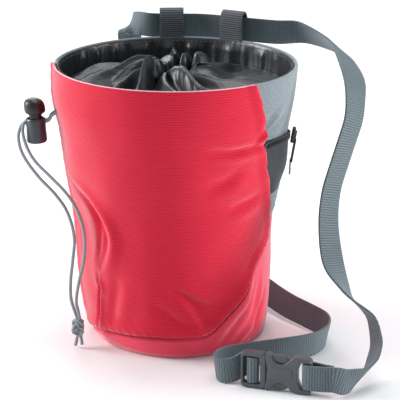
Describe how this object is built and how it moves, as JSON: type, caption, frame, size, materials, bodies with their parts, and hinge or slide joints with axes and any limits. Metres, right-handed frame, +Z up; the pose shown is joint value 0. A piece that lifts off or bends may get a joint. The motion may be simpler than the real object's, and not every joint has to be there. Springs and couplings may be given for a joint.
{
  "type": "climbing chalk bag",
  "caption": "Round tapered climbing chalk bag with a gathered drawstring collar, a side zip pocket, a cord lock and a waist belt with a side release buckle.",
  "frame": {"origin": "middle of the flat underside that the bag stands on", "axes": "+Z up, -Y to the bag's front, +Y to its two belt loops, +X to the zip pocket"},
  "size_m": [0.2237, 0.1762, 0.1857],
  "materials": {
    "ribbed_red_cloth": "matt, fine level ribs",
    "plain_red_cloth": "matt plain weave",
    "melange_cloth": "matt mottled weave",
    "pocket_cloth": "matt",
    "slate_nylon": "soft sheen",
    "black_webbing": "woven",
    "grey_webbing": "woven",
    "grey_plastic": "satin",
    "black_plastic": "glossy",
    "lock_plastic": "soft gloss",
    "grey_cord": "braided"
  },
  "bodies": {
    "bag": {"front_panel": "ribbed_red_cloth", "side_back_panel": "melange_cloth", "base_panel": "plain_red_cloth", "pocket_panel": "pocket_cloth", "pocket_zip": "black_webbing", "zip_slider": "black_plastic", "zip_pull_loop": "grey_cord", "rim_lining": "slate_nylon", "drawstring_collar": "slate_nylon", "belt_loop_left": "black_webbing", "belt_loop_right": "black_webbing", "waist_belt": "grey_webbing", "buckle_plug": "grey_plastic", "buckle_socket": "grey_plastic", "cord_lock_body": "lock_plastic", "drawstring_outer": "grey_cord", "drawstring_inner": "grey_cord", "drawstring_knot": "grey_cord"},
    "button": {"cord_lock_button": "black_plastic"}
  },
  "joints": [
    {"name": "button_press", "type": "slide", "parent": "bag", "child": "button", "axis": [0.034, 0.0079, -0.9994], "range_m": [0, 0.003], "stiffness_N_per_m": 60, "springref_m": -0.006}
  ]
}
